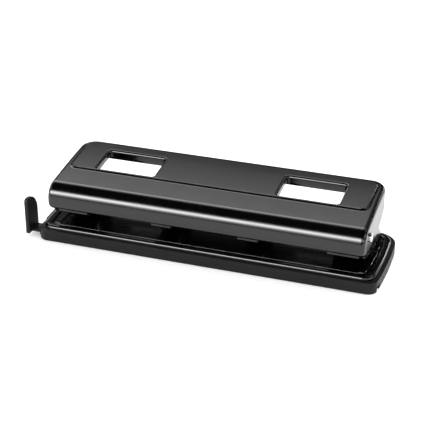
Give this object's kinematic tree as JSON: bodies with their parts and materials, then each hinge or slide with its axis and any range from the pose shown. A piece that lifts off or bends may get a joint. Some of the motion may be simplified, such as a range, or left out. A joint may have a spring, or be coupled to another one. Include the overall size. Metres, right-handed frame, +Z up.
{
  "type": "hole punch",
  "caption": "Long desk hole punch with a full-width black lever, two hand windows, a pull-out paper guide and a chip tray.",
  "frame": {"origin": "centre of the underside of the base, on the desk", "axes": "+X along the length to the right, +Y to the rear (the edge that is pressed down), +Z up"},
  "size_m": [0.3264, 0.094, 0.0659],
  "materials": {
    "lacquered_steel": "glossy black lacquer on pressed steel",
    "matte_black_plastic": "fine-grained matt black moulding",
    "bright_steel": "bright turned steel",
    "tool_steel": "ground hardened steel",
    "spring_steel": "drawn spring wire"
  },
  "bodies": {
    "base": {"base_plate": "lacquered_steel", "left_end_plate": "lacquered_steel", "right_end_plate": "lacquered_steel", "left_pivot_pin": "bright_steel", "right_pivot_pin": "bright_steel", "bracket_rivets": "bright_steel", "end_plate_rivets": "bright_steel", "guide_channel_1": "matte_black_plastic", "guide_channel_2": "matte_black_plastic", "punch_bracket_1": "lacquered_steel", "die_plate_1": "tool_steel", "return_spring_1": "spring_steel", "punch_bracket_2": "lacquered_steel", "die_plate_2": "tool_steel", "return_spring_2": "spring_steel", "punch_bracket_3": "lacquered_steel", "die_plate_3": "tool_steel", "return_spring_3": "spring_steel", "punch_bracket_4": "lacquered_steel", "die_plate_4": "tool_steel", "return_spring_4": "spring_steel"},
    "tray": {"chip_tray": "matte_black_plastic"},
    "lever": {"handle": "lacquered_steel"},
    "guide": {"guide_bar": "matte_black_plastic", "guide_stop": "matte_black_plastic"},
    "punch_1": {"punch_pin_1": "tool_steel", "pin_clip_1": "spring_steel"},
    "punch_2": {"punch_pin_2": "tool_steel", "pin_clip_2": "spring_steel"},
    "punch_3": {"punch_pin_3": "tool_steel", "pin_clip_3": "spring_steel"},
    "punch_4": {"punch_pin_4": "tool_steel", "pin_clip_4": "spring_steel"}
  },
  "joints": [
    {"name": "lever_hinge", "type": "hinge", "parent": "base", "child": "lever", "pos_m": [0, -0.0295, 0.0445], "axis": [-1, 0, 0], "range_deg": [0, 15], "stiffness_Nm_per_rad": 1.5, "springref_deg": -20.05},
    {"name": "punch_1_slide", "type": "slide", "parent": "base", "child": "punch_1", "axis": [0, 0, -1], "range_m": [0, 0.0079], "deforming": ["return_spring_1"]},
    {"name": "punch_2_slide", "type": "slide", "parent": "base", "child": "punch_2", "axis": [0, 0, -1], "range_m": [0, 0.0079], "deforming": ["return_spring_2"]},
    {"name": "punch_3_slide", "type": "slide", "parent": "base", "child": "punch_3", "axis": [0, 0, -1], "range_m": [0, 0.0079], "deforming": ["return_spring_3"]},
    {"name": "punch_4_slide", "type": "slide", "parent": "base", "child": "punch_4", "axis": [0, 0, -1], "range_m": [0, 0.0079], "deforming": ["return_spring_4"]},
    {"name": "guide_slide", "type": "slide", "parent": "base", "child": "guide", "axis": [-1, 0, 0], "range_m": [-0.007, 0.06]},
    {"name": "tray_hinge", "type": "hinge", "parent": "base", "child": "tray", "pos_m": [0, 0.045, 0.011], "axis": [1, 0, 0], "range_deg": [0, 75]}
  ],
  "couplings": [
    {"joint": "punch_1_slide", "follows": "lever_hinge", "m_per_rad": 0.03},
    {"joint": "punch_2_slide", "follows": "lever_hinge", "m_per_rad": 0.03},
    {"joint": "punch_3_slide", "follows": "lever_hinge", "m_per_rad": 0.03},
    {"joint": "punch_4_slide", "follows": "lever_hinge", "m_per_rad": 0.03}
  ]
}
